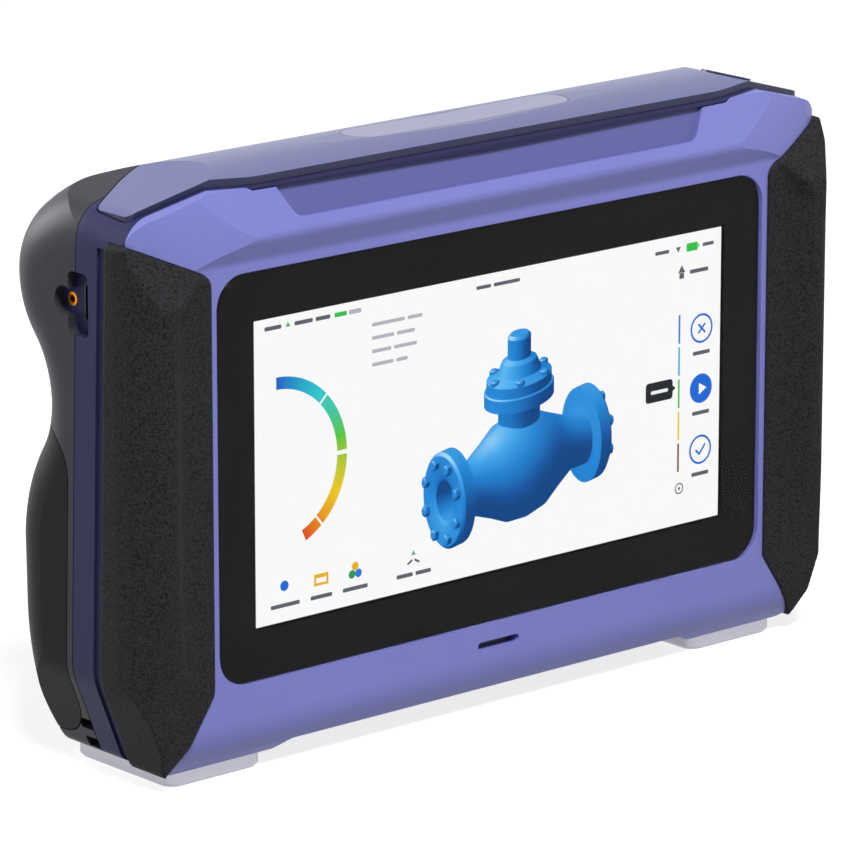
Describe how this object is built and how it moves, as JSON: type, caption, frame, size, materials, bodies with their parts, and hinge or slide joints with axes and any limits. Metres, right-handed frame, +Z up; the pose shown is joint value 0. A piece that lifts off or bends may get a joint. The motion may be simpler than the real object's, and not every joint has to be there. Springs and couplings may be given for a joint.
{
  "type": "handheld 3d scanner",
  "caption": "Hand-held scanner with a built-in touch screen, rubber side grips, a lens bar over a finger waist, a rounded battery pod, a top power button and a side port bay.",
  "frame": {"origin": "on the standing plane under the feet, in the middle of the width and of the depth", "axes": "+X to the user's right along the screen, +Y from the screen towards the lenses, +Z up"},
  "size_m": [0.201, 0.053, 0.132],
  "materials": {
    "blue_shell": "satin paint",
    "navy_frame": "satin",
    "satin_cover": "satin paint",
    "pale_inlay": "satin",
    "charcoal_shell": "fine matte",
    "black_plastic": "matte",
    "grip_rubber": "coarse grain",
    "screen_glass": "polished",
    "lens_glass": "polished",
    "black_print": "gloss",
    "display": "lit",
    "board": "coated",
    "cast_metal": "bead blasted",
    "steel": "plain",
    "brass": "turned",
    "battery_wrap": "film",
    "lamp": "clear"
  },
  "bodies": {
    "housing": {"front_shell": "blue_shell", "mid_frame": "navy_frame", "port_block": "navy_frame", "top_cover": "satin_cover", "top_inlay": "pale_inlay", "rear_housing": "charcoal_shell", "battery_cover": "black_plastic", "display_tray": "black_plastic", "button_switch": "black_plastic", "fan_frame": "black_plastic", "speaker": "black_plastic", "left_camera": "black_plastic", "right_camera": "black_plastic", "projector": "black_plastic", "texture_camera": "black_plastic", "left_grip": "grip_rubber", "right_grip": "grip_rubber", "cover_glass": "screen_glass", "lens_window": "lens_glass", "glass_mask": "black_print", "display_panel": "display", "main_board": "board", "left_foot": "cast_metal", "right_foot": "cast_metal", "heat_sink": "cast_metal", "optics_beam": "cast_metal", "board_screws": "steel", "foot_screws": "steel", "housing_screws": "steel", "usb_port": "steel", "speaker_mesh": "steel", "lock_insert": "brass", "tripod_bush": "brass", "battery_pack": "battery_wrap", "fill_lights": "lamp"},
    "power_button": {"power_button": "satin_cover"},
    "fan_rotor": {"fan_rotor": "black_plastic"}
  },
  "joints": [
    {"name": "power_button_press", "type": "slide", "parent": "housing", "child": "power_button", "axis": [-0.2734, 0, -0.9619], "range_m": [0, 0.0007], "stiffness_N_per_m": 2000},
    {"name": "fan_rotor_spin", "type": "hinge", "parent": "housing", "child": "fan_rotor", "pos_m": [0.036, -0.002, 0.06], "axis": [0, 1, 0], "continuous": true}
  ]
}
